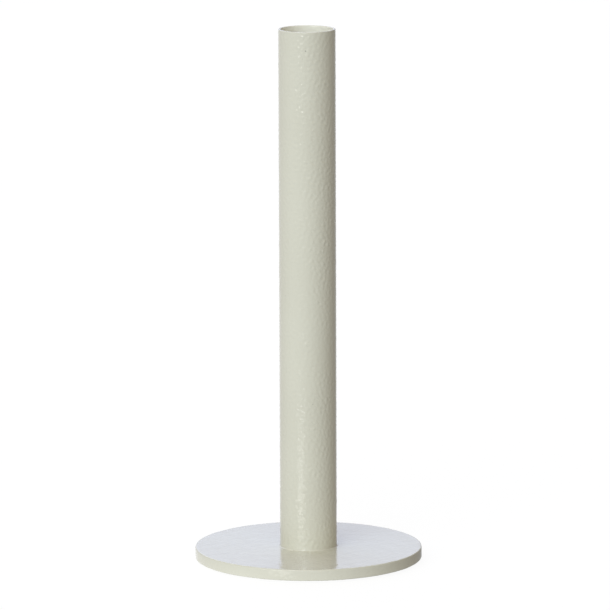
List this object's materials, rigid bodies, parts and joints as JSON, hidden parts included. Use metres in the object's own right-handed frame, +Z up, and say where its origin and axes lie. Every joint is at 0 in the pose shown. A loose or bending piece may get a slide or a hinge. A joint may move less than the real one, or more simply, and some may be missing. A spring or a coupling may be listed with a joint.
{
  "type": "taper candlestick",
  "caption": "Tall slim candlestick: a thin-walled round tube, open at the top to hold a taper candle, standing on a flat round base disc.",
  "frame": {"origin": "on the table plane, where the tube's axis meets it", "axes": "+Z up along the tube's axis; X and Y along the table, with the felt pads on the diagonals"},
  "size_m": [0.1, 0.1, 0.2362],
  "materials": {
    "powder_coat": "glossy light warm grey powder coat with a slight orange peel",
    "plain_steel": "turned bare steel",
    "zinc_steel": "zinc plated",
    "felt": "needled wool felt"
  },
  "bodies": {
    "root": {"base_plate": "powder_coat", "stem_tube": "powder_coat", "candle_seat": "powder_coat", "foot_plug": "plain_steel", "base_screw": "zinc_steel", "felt_pad_1": "felt", "felt_pad_2": "felt", "felt_pad_3": "felt", "felt_pad_4": "felt"}
  },
  "joints": []
}
